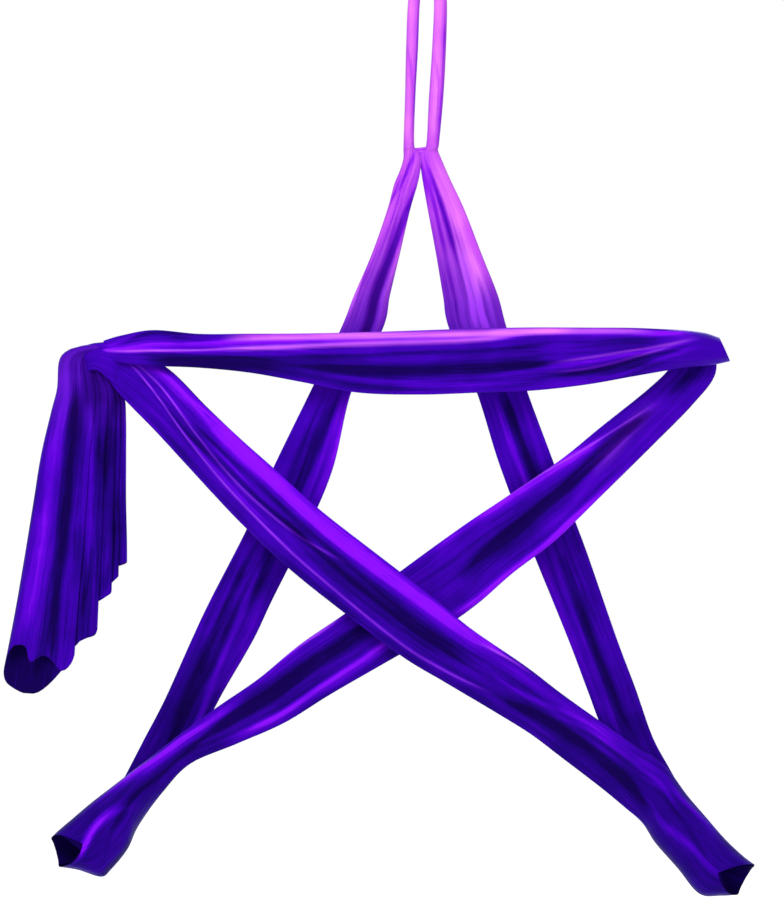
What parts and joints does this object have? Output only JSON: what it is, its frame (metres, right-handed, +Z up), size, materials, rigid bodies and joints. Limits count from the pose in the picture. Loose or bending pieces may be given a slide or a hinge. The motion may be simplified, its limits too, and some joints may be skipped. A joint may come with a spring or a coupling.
{
  "type": "aerial silks",
  "caption": "Aerial silks rigged from a ceiling plate through carabiners, a ball-bearing swivel and a rescue eight, with the purple tricot drawn out as a star with a hanging tail.",
  "frame": {"origin": "middle of the top face of the ceiling plate, where the rig meets the ceiling", "axes": "+Z up and out of the plate's top face, +X to the right of the star seen from its front, -Y towards the looker"},
  "size_m": [1.713, 0.2169, 2.6652],
  "materials": {
    "plated_steel": "zinc-plated, satin",
    "polished_steel": "polished",
    "black_steel": "black oxide",
    "anodised_aluminium": "anodised grey, satin",
    "seal_rubber": "matte",
    "tricot": "violet nylon tricot, soft sheen"
  },
  "bodies": {
    "ceiling_mount": {"ceiling_plate": "plated_steel"},
    "upper_carabiner": {"upper_carabiner_frame": "polished_steel", "upper_gate_pin": "black_steel"},
    "upper_gate_arm": {"upper_gate": "polished_steel", "upper_push_rod": "black_steel", "upper_gate_spring": "polished_steel"},
    "upper_lock": {"upper_screw_sleeve": "black_steel"},
    "swivel_top": {"swivel_housing": "anodised_aluminium", "bearing_retainer": "anodised_aluminium", "bearing_lower_washer": "polished_steel"},
    "ball_ring": {"bearing_ball_ring": "polished_steel"},
    "swivel_bottom": {"swivel_spindle": "anodised_aluminium", "spindle_nut": "polished_steel", "bearing_upper_washer": "polished_steel", "dust_seal": "seal_rubber"},
    "lower_carabiner": {"lower_carabiner_frame": "polished_steel", "lower_gate_pin": "black_steel"},
    "lower_gate_arm": {"lower_gate": "polished_steel", "lower_push_rod": "black_steel", "lower_gate_spring": "polished_steel"},
    "lower_lock": {"lower_screw_sleeve": "black_steel"},
    "silks": {"rescue_eight": "anodised_aluminium", "neck_hitch": "tricot", "upper_strand_left": "tricot", "upper_strand_right": "tricot", "crossing_knot": "tricot", "left_drop": "tricot", "right_drop": "tricot", "left_foot_loop": "tricot", "right_foot_loop": "tricot", "rear_diagonal": "tricot", "front_diagonal": "tricot", "cross_band": "tricot", "wrist_loop": "tricot", "grip_gather": "tricot", "hanging_tail": "tricot"}
  },
  "joints": [
    {"name": "upper_carabiner_swing", "type": "hinge", "parent": "ceiling_mount", "child": "upper_carabiner", "pos_m": [0, 0, -0.058], "axis": [1, 0, 0], "range_deg": [-30, 30]},
    {"name": "upper_gate_hinge", "type": "hinge", "parent": "upper_carabiner", "child": "upper_gate_arm", "pos_m": [0, -0.024, -0.1212], "axis": [-1, 0, 0], "range_deg": [0, 25], "stiffness_Nm_per_rad": 0.1, "springref_deg": -17.19},
    {"name": "upper_lock_slide", "type": "slide", "parent": "upper_gate_arm", "child": "upper_lock", "axis": [0, 0, 1], "range_m": [0, 0.0095]},
    {"name": "swivel_swing", "type": "hinge", "parent": "upper_carabiner", "child": "swivel_top", "pos_m": [0, 0, -0.1537], "axis": [0, 1, 0], "range_deg": [-30, 30]},
    {"name": "swivel_turn", "type": "hinge", "parent": "swivel_top", "child": "swivel_bottom", "pos_m": [0, 0, -0.2], "axis": [0, 0, 1], "continuous": true},
    {"name": "ball_ring_turn", "type": "hinge", "parent": "swivel_top", "child": "ball_ring", "pos_m": [0, 0, -0.2], "axis": [0, 0, 1], "continuous": true},
    {"name": "lower_carabiner_swing", "type": "hinge", "parent": "swivel_bottom", "child": "lower_carabiner", "pos_m": [0, 0, -0.2636], "axis": [1, 0, 0], "range_deg": [-30, 30]},
    {"name": "lower_gate_hinge", "type": "hinge", "parent": "lower_carabiner", "child": "lower_gate_arm", "pos_m": [0, -0.024, -0.3268], "axis": [-1, 0, 0], "range_deg": [0, 25], "stiffness_Nm_per_rad": 0.1, "springref_deg": -17.19},
    {"name": "lower_lock_slide", "type": "slide", "parent": "lower_gate_arm", "child": "lower_lock", "axis": [0, 0, 1], "range_m": [0, 0.0095]},
    {"name": "silks_swing", "type": "hinge", "parent": "lower_carabiner", "child": "silks", "pos_m": [0, 0, -0.3593], "axis": [0, 1, 0], "range_deg": [-30, 30]}
  ],
  "couplings": [
    {"joint": "ball_ring_turn", "follows": "swivel_turn", "ratio": 0.5}
  ]
}
